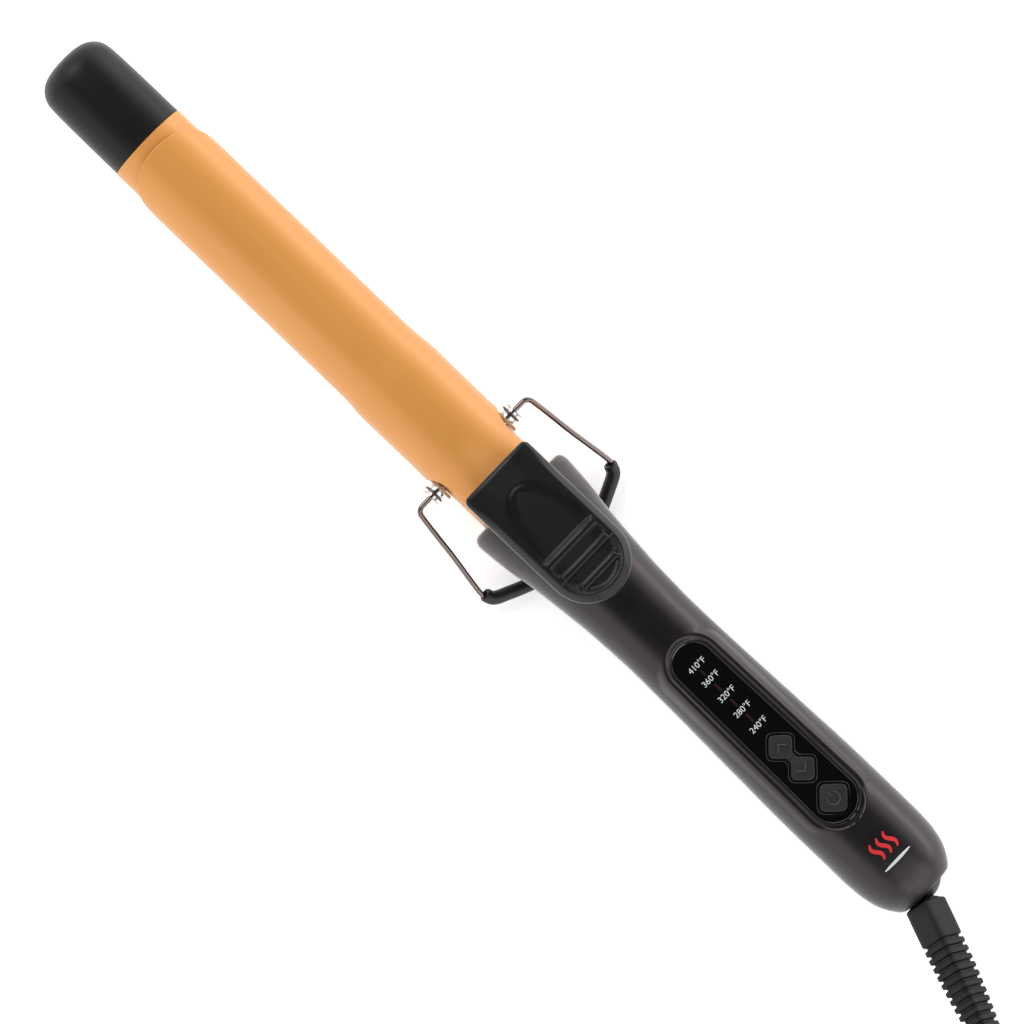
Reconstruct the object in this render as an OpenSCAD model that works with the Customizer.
// Curling iron with a spring clamp, a swivel cord and a folding wire rest.
// +X runs from the cool tip to the cord, +Z is up with the thumb lever on top.
// The iron lies on its folded rest, and the origin is under its middle.
// Inside each module x counts from the tip and z from the barrel's axis.

/* [Barrel] */
// Outer diameter of the heated barrel
barrel_d = 25.4; // [25.2:0.1:25.6]
// Outer diameter of the cool tip, a little slimmer than the barrel
cap_d = 25; // [24.8:0.1:25.2]
// Length of the cool tip, where the barrel starts to show
cap_len = 33.6; // [30:0.2:36]
// Wall of the barrel tube
barrel_wall = 1.0; // [0.8:0.1:1.2]

/* [Clamp] */
// Outer diameter of the clamp plate over the barrel
plate_d = 27.6; // [27.4:0.1:27.8]
// Where the clamp plate's round tip starts
plate_tip_x = 37.3; // [36.5:0.1:40]
// Thickness of the clamp plate
plate_wall = 0.8; // [0.7:0.05:0.9]
// Place of the clamp's pivot along the iron
pivot_x = 161.9; // [161.5:0.1:162.3]
// Width of the thumb lever
lever_w = 25; // [24:0.2:25.4]

/* [Handle] */
// Where the handle starts, at its two cheeks
handle_x = 179.3; // [178.5:0.1:180]
// Wall of the handle shells
shell_wall = 2.2; // [2:0.1:2.4]
// Width of the control panel
panel_w = 14.6; // [14:0.1:15]

/* [Rest] */
// Diameter of the rest's wire
wire_d = 1.6; // [1.5:0.05:1.65]
// Diameter of the black sleeve on the rest's foot
sleeve_d = 4.1; // [3.8:0.1:4.2]

/* [Cord] */
// Diameter of the mains cord
cord_d = 6; // [5.8:0.1:6.2]
// Length of the straight runs in the folded hank
hank_run = 100; // [96:1:104]
// Height of the tie that lifts the hank off the table
tie_t = 0.8; // [0.6:0.1:1]

/* [Hidden] */
$fn = 96;

eps = 0.01;
run = 0.05;
barrel_r = barrel_d / 2;
cap_r = cap_d / 2;
bore_r = barrel_r - barrel_wall;
barrel_end = 186;
plate_r = plate_d / 2;
ball_x = 335.4;
ball_r = 8.4;
overall = ball_x + ball_r;
// The handle ends in a mouth that is narrower than its socket, which keeps the swivel ball in.
end_x = 341.2;
mouth_r = 8.8;

// The handle's outer radius at stations along it.
handle_profile = [
  [handle_x, 15.6], [handle_x + 0.7, 17.1], [handle_x + 2.4, 17.8], [192, 17], [200, 15.75],
  [209, 14.8], [215, 14.25], [220, 13.8], [229, 13.4], [236, 13.2], [252, 13.4], [263, 13.7],
  [273, 14], [282, 14.25], [292, 14.55], [303, 14.7], [323, 14.7], [328.6, 14.4],
  [331.5, 13.95], [334, 13.35], [337, 12.1], [340, 9.9], [end_x, mouth_r]
];

// The folded rest slopes down from the pivot to its foot, under the handle.
foot_x = 200.5;
foot_z = -18.3;
rest_slope = -foot_z / (foot_x - pivot_x);
axis_h = -foot_z + sleeve_d / 2;
leg_y = 22.7;

// The control panel, its window and its buttons.
panel_x0 = 242;
panel_x1 = 310.7;
panel_z = 11.7;
window_t = 2;
rocker_x = [282.4, 291.2];
rocker_mid = (rocker_x[0] + rocker_x[1]) / 2;
rocker_pin_z = 9;
power_x = 303.2;
rocker_half = 4.3;
power_half = 5.1;
led_x = [249.4, 254.8, 261.1, 267.3, 273.6];
board_z = 4.6;
board_t = 1.6;

// The cord leaves the swivel ball sideways and slightly upwards.
boot_turn = -22;
boot_rise = 14;
boot_block = 9.3;
boot_flat = 11.6;
boot_len = 52;
boot_side = 9.2;
spigot_r = 2.9;
cord_r = cord_d / 2;
boot_dir = [cos(boot_rise) * cos(boot_turn), cos(boot_rise) * sin(boot_turn), sin(boot_rise)];

// The hank of spare cord, in line with the iron: two columns of turns.
hank_x0 = 480;
hank_r_out = 27;
hank_r_in = 15;
hank_h = 24;
tie_x = 502;
tie_w = 14;

// Height here is above the table, and x counts from the tip. The lead starts just clear of the boot.
lead_out = boot_len + 0.3;
lead_end = [ball_x + lead_out * boot_dir[0], lead_out * boot_dir[1], axis_h + lead_out * boot_dir[2]];
lead_path = [
  lead_end, [391, -22.5, 34.6], [400, -25.3, 35.1], [409.5, -27.4, 33.4], [418.5, -28.5, 29.4],
  [427, -28.8, 24], [435.5, -28.5, 18.2], [444.5, -27.8, 12.6], [454, -26.8, 8],
  [464, -25.6, 5.1], [472, -24.6, 4.1], [480, -24, 3.8]
];
tail_path = [
  [580, 18, 3.8], [571, 17.2, 3.9], [562, 14, 4.6], [553, 9.2, 5.8],
  [544, 4.4, 7.4], [535, 1.2, 8.8], [528, 0.1, 9.3], [524, 0, 9.4]
];
plug_x = 524;
plug_z = 9.4;

// Everything of the iron is drawn along its axis, then set down on its rest.
module iron() translate([-overall / 2, 0, axis_h]) children();

// What lies on the table is drawn from the table up.
module table() translate([-overall / 2, 0, 0]) children();

// A solid of revolution about the iron's axis, from [x, radius] points.
module turned(points, angle = 360, start = 0)
  rotate([0, 90, 0]) rotate([0, 0, start])
    rotate_extrude(angle = angle) polygon([for (p = points) [p[1], p[0]]]);

module rod_x(r, x0, x1, y = 0, z = 0)
  translate([x0, y, z]) rotate([0, 90, 0]) cylinder(r = r, h = x1 - x0);

module rod_y(r, y0, y1, x = 0, z = 0)
  translate([x, y0, z]) rotate([-90, 0, 0]) cylinder(r = r, h = y1 - y0);

module tube_x(r_out, r_in, x0, x1)
  difference() {
    rod_x(r_out, x0, x1);
    rod_x(r_in, x0 - 1, x1 + 1);
  }

module both_sides() {
  children();
  mirror([0, 1, 0]) children();
}

// One swept tube along a route, with eight sides.
function unit(v) = v / norm(v);
function heading(p, i) = unit(p[min(i + 1, len(p) - 1)] - p[max(i - 1, 0)]);
function ring_point(p, i, k, n, r) =
  let (t = heading(p, i), s = unit(cross([0, 0, 1], t)), u = cross(t, s), a = 360 * k / n)
  p[i] + r * (cos(a) * s + sin(a) * u);
module swept(p, r, n = 8)
  polyhedron(
    points = [for (i = [0 : len(p) - 1]) for (k = [0 : n - 1]) ring_point(p, i, k, n, r)],
    faces = concat(
      [[for (k = [0 : n - 1]) n - 1 - k]],
      [for (i = [0 : len(p) - 2]) for (k = [0 : n - 1])
        [i * n + k, i * n + (k + 1) % n, (i + 1) * n + (k + 1) % n, (i + 1) * n + k]],
      [[for (k = [0 : n - 1]) (len(p) - 1) * n + k]]
    )
  );

// ---- Cool tip and barrel ----

module tip_cap()
  color("#2a282b") iron() difference() {
    union() {
      turned([[0, 0], [0, 4.6], [0.7, 7.6], [2.3, 10], [4.6, 11.6], [7.5, 12.25], [14, 12.4],
        [24, cap_r], [cap_len, cap_r], [cap_len, 0]]);
      rod_x(bore_r, cap_len - 1, cap_len + 5);
    }
    turned([[3, 0], [3, 5], [6, 9.4], [9, 10.2], [cap_len + 6, 10.2], [cap_len + 6, 0]]);
  }

module tip_insulator()
  color("#d8cdb4") iron() tube_x(bore_r, 2, cap_len + 5.2, cap_len + 8.2);

module barrel_tube()
  color("#da944a") iron() difference() {
    tube_x(barrel_r, bore_r, cap_len, barrel_end);
    rod_y(1.9, -20, 20, pivot_x);
  }

// ---- Heater inside the barrel ----

module heater_plate()
  color("#e8e4da") iron() translate([60, -4, -0.75]) cube([80, 8, 1.5]);

module heater_shoes()
  color("#b9bcc0") iron() difference() {
    rod_x(bore_r - 0.1, 55, 148);
    translate([54, -15, -0.75]) cube([95, 30, 1.5]);
    both_sides() translate([54, 6, -15]) cube([95, 10, 30]);
    rod_x(1.6, 54, 149, 0, 6);
  }

module shoe_spring()
  color("#9a9ca0") iron() both_sides()
    translate([70, 4.4, -0.6]) cube([60, 0.6, 1.2]);

module thermistor()
  color("#3c6b4a") iron() translate([62, 0, 6]) rotate([0, 90, 0]) cylinder(r = 1.5, h = 6);

module thermal_fuse()
  color("#c9b27a") iron() rod_x(2, 151, 162, 0, -3.5);

module mica_sleeve()
  color("#d2c49c") iron() tube_x(9.6, 9, 149, 182);

module barrel_collar()
  color("#3a3634") iron() difference() {
    union() {
      rod_x(bore_r, 178, barrel_end);
      rod_x(barrel_r, barrel_end, 191);
    }
    rod_x(9.6 + eps, 177, 183);
    rod_x(4, 177, 192);
  }

module heater_leads()
  color("#d9d3c4") iron() for (side = [-1, 1])
    swept([[141, side * 2.2, 0], [151, side * 2.3, 0], [166, side * 2.4, 0.6], [193, side * 2, 0],
      [214, side * 5.2, -1], [232, side * 5, -2], [240, side * 3.6, 0], [246, side * 3, 2.4]], 0.7);

// ---- Spring clamp ----

// The plate's radius inside, wider over the saddle and rising behind the pivot.
plate_inside = [[30, plate_r - plate_wall], [124, plate_r - plate_wall], [132, 13.6], [157.6, 13.6],
  [170, 15.5], [183, 17.85]];
plate_outside = [for (p = plate_inside) [p[0], p[1] + plate_wall]];
plate_full_x = plate_tip_x + 14.7;

module plate_outline()
  polygon(concat(
    [for (a = [180 : 9 : 360]) [plate_full_x + 14.7 * sin(a) * (a > 180 && a < 360 ? 1 : 0), 14.6 * cos(a)]],
    [[157.6, 14.6], [160, 12.85], [172, 10.8], [173.5, 6.4], [183, 6.4],
      [183, -6.4], [173.5, -6.4], [172, -10.8], [160, -12.85], [157.6, -14.6]]
  ));

module clamp_plate()
  color("#da944a") iron() difference() {
    intersection() {
      turned(concat([[30, 0]], plate_outside, [[183, 0]]));
      translate([0, 0, 0.3]) linear_extrude(height = 30) plate_outline();
    }
    turned(concat([[29, 0], [29, plate_inside[0][1]]], plate_inside, [[184, 17.9], [184, 0]]));
    for (x = [175, 180]) translate([x, 0, 10]) cylinder(r = 1.25, h = 12);
  }

module clamp_saddle()
  color("#c4a27a") iron() difference() {
    union() {
      intersection() {
        tube_x(13.6, 13, 133.5, 160);
        translate([130, -20, 0]) cube([40, 40, 20]);
      }
      both_sides() hull() {
        rod_y(4.2, 13, 13.8, pivot_x, -0.6);
        translate([157.9, 13, -3]) cube([1, 0.8, 4.2]);
      }
      both_sides() translate([156, 13.05, -1.6]) cube([3, 0.5, 2.6]);
    }
    rod_y(1.9 + run, -20, 20, pivot_x);
  }

lever_rise = 9.5;
function skirt_z(x) = 16.49 + tan(lever_rise) * (x - pivot_x - 18.9);

module lever_outline() {
  translate([206, 0]) circle(r = lever_w / 2);
  translate([171.55, -lever_w / 2]) square([34.45, lever_w]);
  translate([169.6, -lever_w / 2 + 1.95]) square([3, lever_w - 3.9]);
  both_sides() translate([171.6, lever_w / 2 - 2]) circle(r = 2);
}

// A slab that starts a given height above the skirt's plane and follows a slope.
module slope_slab(lift, slope, thick)
  translate([170, -20, skirt_z(170) + lift]) rotate([0, -slope, 0]) translate([-10, 0, 0])
    cube([75, 40, thick]);

module thumb_lever()
  color("#1b1a1a") iron() difference() {
    intersection() {
      translate([0, 0, 8]) linear_extrude(height = 25) lever_outline();
      slope_slab(0, lever_rise, 20);
      slope_slab(-15, 8.2, 19.9);
      translate([190, 0, -12]) rotate([0, 90 - 8.2, 0]) cylinder(r = 35.1, h = 90, center = true, $fn = 180);
    }
    turned(concat([[160, 0]], [[160, 14.76], [170, 16.3], [183, 18.65], [184, 18.85]], [[184, 0]]));
    // Hollow underneath, where the spring pushes
    intersection() {
      translate([187, -9.5, 0]) cube([25, 19, 40]);
      slope_slab(-10, lever_rise, 11.3);
    }
    // Thumb recess
    intersection() {
      slope_slab(4, 8.2, 20);
      translate([0, 0, 5]) linear_extrude(height = 30) polygon([[180, 0], [184, -4.2], [190, -7.2],
        [197, -9], [206, -9.6], [211, -8.2], [214, -4.5], [215, 0], [214, 4.5], [211, 8.2],
        [206, 9.6], [197, 9], [190, 7.2], [184, 4.2]]);
    }
    for (x = [175, 180]) translate([x, 0, 10]) cylinder(r = 1.25, h = 9);
  }

module clamp_rivets()
  color("#9a9ca0") iron() for (x = [175, 180])
    difference() {
      translate([x, 0, 14.5]) cylinder(r = 1.25, h = 4.5, $fn = 32);
      turned([[170, 0], [170, 15], [183, 17.35], [183, 0]]);
    }

spring_x = 202.5;
spring_z0 = 8.4;
spring_z1 = 20.6;
spring_turns = 5;
module clamp_spring()
  color("#b9bcc0") iron() translate([spring_x, 0, 0])
    swept([for (i = [0 : spring_turns * 12])
      [3 * cos(30 * i), 3 * sin(30 * i), spring_z0 + 0.4 + (spring_z1 - spring_z0 - 0.8) * i / (spring_turns * 12)]],
      0.4, 6);

// ---- Pivot and folding rest ----

module pivot_eyelets()
  color("#d8d8da") iron() both_sides() difference() {
    union() {
      rod_y(1.9, 10.9, 17.3, pivot_x);
      rod_y(2.5, 14.05, 15.55, pivot_x);
      rod_y(3.1, 17, 17.6, pivot_x);
    }
    rod_y(wire_d / 2 + run, 10, 20, pivot_x);
  }

module pivot_washers()
  color("#55504e") iron() both_sides() difference() {
    rod_y(3.1, 15.55, 16.1, pivot_x);
    rod_y(1.9, 15, 17, pivot_x);
  }

// A point of the rest, in the sloping plane of its folded frame.
function rest_point(x, y) = [x, y, -rest_slope * (x - pivot_x)];
half_route = [
  [pivot_x, 17.8, 0], [pivot_x, 20.6, 0], [pivot_x + 0.3, 22, 0],
  rest_point(163.4, leg_y), rest_point(165, leg_y + 0.2),
  rest_point(178, 24.6), rest_point(190.5, 26.5), rest_point(193.2, 26.4), rest_point(195, 24.6),
  rest_point(197, 20.6), rest_point(198.8, 16.6), rest_point(200, 13.6), rest_point(foot_x, 10)
];
function across(p) = [p[0], -p[1], p[2]];
rest_route = concat(half_route, [for (i = [len(half_route) - 1 : -1 : 0]) across(half_route[i])]);
sleeve_start = 7;
sleeve_route = [for (i = [sleeve_start : len(rest_route) - 1 - sleeve_start]) rest_route[i]];

module rest_wire()
  color("#c9c6c4") iron() {
    swept([for (i = [0 : sleeve_start]) rest_route[i]], wire_d / 2, 12);
    swept([for (i = [sleeve_start : -1 : 0]) across(rest_route[i])], wire_d / 2, 12);
  }

// The wire's turned-in ends, which pivot in the eyelets
module rest_pins()
  color("#c9c6c4") iron() both_sides() rod_y(wire_d / 2, 11.4, 17.8, pivot_x);

module rest_sleeve()
  color("#1c1b1c") iron() swept(sleeve_route, sleeve_d / 2, 12);

// ---- Handle ----

module obround(x0, x1, w, h0, h1) {
  r = w / 2;
  translate([x0 + r, -r, h0]) cube([x1 - x0 - w, w, h1 - h0]);
  for (x = [x0 + r, x1 - r]) translate([x, 0, h0]) cylinder(r = r, h = h1 - h0);
}

// The shells' inside: the barrel's seat, the cavity and the ball's socket.
socket_r = ball_r + 0.3;
handle_inside = concat(
  [[handle_x, 12.8], [191.2, 12.8], [191.2, 12.4], [200, 12.2]],
  [for (p = handle_profile) if (p[0] > 208 && p[0] < 324) [p[0], p[1] - shell_wall]],
  [[329, 11.8], [330.6, 11]],
  [for (a = [118 : -8 : 54]) [ball_x + socket_r * cos(a), socket_r * sin(a)]],
  [[end_x, mouth_r - 0.5]]
);

// Half of the handle's shell, turned through half a circle from a start angle.
module shell_half(start)
  turned(concat(handle_profile, [for (i = [len(handle_inside) - 1 : -1 : 0]) handle_inside[i]]), 180, start);

screw_x = [216, 318.5];

module handle_top()
  color("#2b292b") iron() difference() {
    union() {
      shell_half(90);
      for (x = screw_x) translate([x, 0, 0]) cylinder(r = 3.2, h = 13);
      // Spring cup under the lever
      translate([spring_x, 0, 7]) cylinder(r = 5.4, h = 6);
    }
    // Flat under the lever, hidden by it
    translate([handle_x - 2, -12.2, 13.3]) cube([214 - handle_x, 24.4, 10]);
    translate([spring_x, 0, spring_z0]) cylinder(r = 4.4, h = 20);
    obround(panel_x0, panel_x1, panel_w, 2, 20);
    for (x = screw_x) translate([x, 0, -1]) cylinder(r = 1.3, h = 9);
  }

module handle_bottom()
  color("#2b292b") iron() difference() {
    union() {
      shell_half(-90);
      for (x = screw_x) translate([x, 0, -13]) cylinder(r = 3.2, h = 13);
    }
    for (x = screw_x) translate([x, 0, -20]) {
      cylinder(r = 1.7, h = 21);
      cylinder(r = 2.9, h = 9.5);
    }
  }

module handle_screws()
  color("#8d8f93") iron() for (x = screw_x) translate([x, 0, 0]) difference() {
    union() {
      translate([0, 0, -10.5]) cylinder(r = 1.3, h = 16, $fn = 32);
      translate([0, 0, -12.5]) cylinder(r = 2.6, h = 2, $fn = 32);
    }
    for (a = [0, 90]) rotate([0, 0, a]) translate([-1.7, -0.35, -13]) cube([3.4, 0.7, 1.3]);
  }

// ---- Controls ----

// A diamond key, its corners across and along the handle, cut to small flats.
module diamond(half, h)
  intersection() {
    rotate([0, 0, 45]) translate([-half * 0.78, -half * 0.78, 0]) cube([half * 1.56, half * 1.56, h]);
    translate([-half, -half, 0]) cube([2 * half, 2 * half, h]);
  }

module rocker_keys(grow, z0, z1)
  for (x = rocker_x) translate([x, 0, z0]) diamond(rocker_half + grow, z1 - z0);

module panel_window()
  color("#0d0c0d") iron() difference() {
    obround(panel_x0 + 0.02, panel_x1 - 0.02, panel_w - 0.04, panel_z - window_t, panel_z);
    rocker_keys(0.35, 0, 20);
    translate([rocker_mid, -1.6, 0]) translate([-2, 0, 0]) cube([4, 3.2, 20]);
    translate([power_x, 0, 0]) diamond(power_half + 0.3, 20);
  }

module rocker_button()
  color("#1d1c1c") iron() difference() {
    union() {
      rocker_keys(0, panel_z - 1.9, panel_z + 0.9);
      translate([rocker_mid - 3.3, -1.1, rocker_pin_z - 1.1]) cube([6.6, 2.2, 2.6]);
      for (x = rocker_x) translate([x, 0, 8.7]) cylinder(r = 0.9, h = 2, $fn = 32);
    }
    rod_y(0.6 + run, -3, 3, rocker_mid, rocker_pin_z);
  }

module rocker_pin()
  color("#b9bcc0") iron() rod_y(0.6, -(panel_w / 2 - 1.2), panel_w / 2 - 1.2, rocker_mid, rocker_pin_z, $fn = 32);

module power_button()
  color("#1d1c1c") iron() union() {
    translate([power_x, 0, panel_z - 1.2]) diamond(power_half, 2.2);
    translate([power_x, 0, 8.9]) cylinder(r = 1.2, h = 3, $fn = 32);
  }

module circuit_board()
  color("#2f6b3c") iron() difference() {
    translate([244, -5.6, board_z]) cube([66, 11.2, board_t]);
    for (x = [246, 308]) translate([x, 3.6, board_z - 1]) cylinder(r = 0.8, h = 4, $fn = 32);
  }

module temperature_leds()
  color("#7a1512") iron() for (x = led_x)
    translate([x - 0.8, -1.6, board_z + board_t]) cube([1.6, 3.2, 1.2]);

switch_z = board_z + board_t;
module tact_switches()
  color("#c7c9cc") iron() for (x = [rocker_x[0], rocker_x[1], power_x]) translate([x, 0, switch_z]) {
    translate([-2, -2, 0]) cube([4, 4, 1.1]);
    cylinder(r = 1, h = 1.5, $fn = 32);
  }

module triac()
  color("#232226") iron() {
    translate([248, -3.5, board_z - 3.2]) cube([9, 7, 3.2]);
    translate([257, -3.5, board_z - 0.8]) cube([4.5, 7, 0.8]);
  }

module film_capacitor()
  color("#b8862e") iron() translate([266, -3.2, board_z - 9]) cube([13, 6.4, 9]);

module smoothing_capacitor()
  color("#26335a") iron() rod_x(3, 284, 296, 0, board_z - 3);

module board_leads()
  color("#d9d3c4") iron() for (side = [-1, 1])
    swept([[299, side * 3.4, board_z - 1.2], [304, side * 3.8, 1], [309, side * 4.6, -2], [314, side * 4.9, -4],
      [320, side * 4.4, -4.8], [325, side * 2.8, -4.4]], 0.7);

// ---- Swivel and cord boot ----

// Places its children along the boot's axis, from the ball's centre, pointing +Z.
module along_boot()
  translate([ball_x, 0, 0]) rotate([0, 90 - boot_rise, boot_turn]) rotate([0, 0, 45]) children();

module swivel_ball()
  color("#161516") iron() difference() {
    translate([ball_x, 0, 0]) sphere(r = ball_r);
    along_boot() translate([0, 0, -10]) cylinder(r = spigot_r + run, h = 20);
    along_boot() translate([0, 0, -10]) cylinder(r = 4.2, h = 8);
  }

module cord_boot()
  color("#232122") iron() along_boot() {
    difference() {
      union() {
        translate([0, 0, -5.4]) cylinder(r = spigot_r, h = 14.6);
        translate([0, 0, 8.45]) cylinder(r1 = 3.6, r2 = 4.4, h = 0.9);
        translate([-boot_side / 2, -boot_side / 2, boot_block]) cube([boot_side, boot_side, boot_flat]);
        translate([0, 0, boot_block + boot_flat - 1]) cylinder(r = 3.7, h = boot_len - boot_block - boot_flat + 1);
        for (i = [0 : 10]) {
          side = boot_side - 0.02 * i * i;
          translate([-side / 2, -side / 2, boot_block + boot_flat + 1 + 2.6 * i]) cube([side, side, 1.6]);
        }
      }
      translate([0, 0, -6]) cylinder(r = 1.6, h = 12);
    }
  }

module wiper_rings()
  color("#c8a552") iron() along_boot() for (z = [-5.2, -3.4]) translate([0, 0, z]) difference() {
    cylinder(r = 3.5, h = 1);
    translate([0, 0, -1]) cylinder(r = spigot_r, h = 3);
  }

// ---- Spare cord on the table ----

module cord_lead()
  color("#1a191a") table() swept(lead_path, cord_r);

module long_ring(r, h)
  union() {
    for (x = [hank_x0, hank_x0 + hank_run]) translate([x, 0, 0]) cylinder(r = r, h = h);
    translate([hank_x0, -r, 0]) cube([hank_run, 2 * r, h]);
  }

module cord_hank()
  color("#1a191a") table() translate([0, 0, tie_t]) difference() {
    long_ring(hank_r_out, hank_h);
    translate([0, 0, -1]) long_ring(hank_r_in, hank_h + 2);
  }

module hank_tie()
  color("#2b2b2e") table() difference() {
    translate([tie_x, -hank_r_out - tie_t, 0]) cube([tie_w, 2 * (hank_r_out + tie_t), hank_h + 2 * tie_t]);
    translate([tie_x - 1, -hank_r_out, tie_t]) cube([tie_w + 2, 2 * hank_r_out, hank_h]);
  }

module cord_tail()
  color("#1a191a") table() swept(tail_path, cord_r);

// The plug lies in the hank's loop and points back at the iron.
module plug_place()
  table() translate([plug_x, 0, plug_z]) mirror([1, 0, 0]) children();

module plug_relief()
  color("#1d1c1d") plug_place() {
    rod_x(3.9, 0, 14);
    for (i = [0 : 3]) rod_x(4.6, 2 + 3 * i, 3.8 + 3 * i);
  }

module plug_body()
  color("#1d1c1d") plug_place() {
    translate([14, -8, -6.5]) cube([6, 16, 13]);
    translate([20, -12.2, -8.2]) cube([17, 24.4, 16.4]);
  }

// Two flat mains blades, 12.7 mm apart
blade_len = 16.5;
module plug_blades()
  color("#c9b27a") plug_place() both_sides() translate([37, 6.35 - 0.75, -3.15])
    difference() {
      cube([blade_len, 1.5, 6.3]);
      rod_y(1.5, -1, 3, blade_len - 4.2, 3.15);
    }

tip_cap();
tip_insulator();
barrel_tube();
heater_plate();
heater_shoes();
shoe_spring();
thermistor();
thermal_fuse();
mica_sleeve();
barrel_collar();
heater_leads();
clamp_plate();
clamp_saddle();
clamp_rivets();
thumb_lever();
clamp_spring();
pivot_eyelets();
pivot_washers();
rest_wire();
rest_pins();
rest_sleeve();
handle_top();
handle_bottom();
handle_screws();
panel_window();
circuit_board();
triac();
film_capacitor();
smoothing_capacitor();
temperature_leds();
tact_switches();
rocker_button();
rocker_pin();
power_button();
board_leads();
swivel_ball();
wiper_rings();
cord_boot();
cord_lead();
cord_hank();
hank_tie();
cord_tail();
plug_relief();
plug_body();
plug_blades();
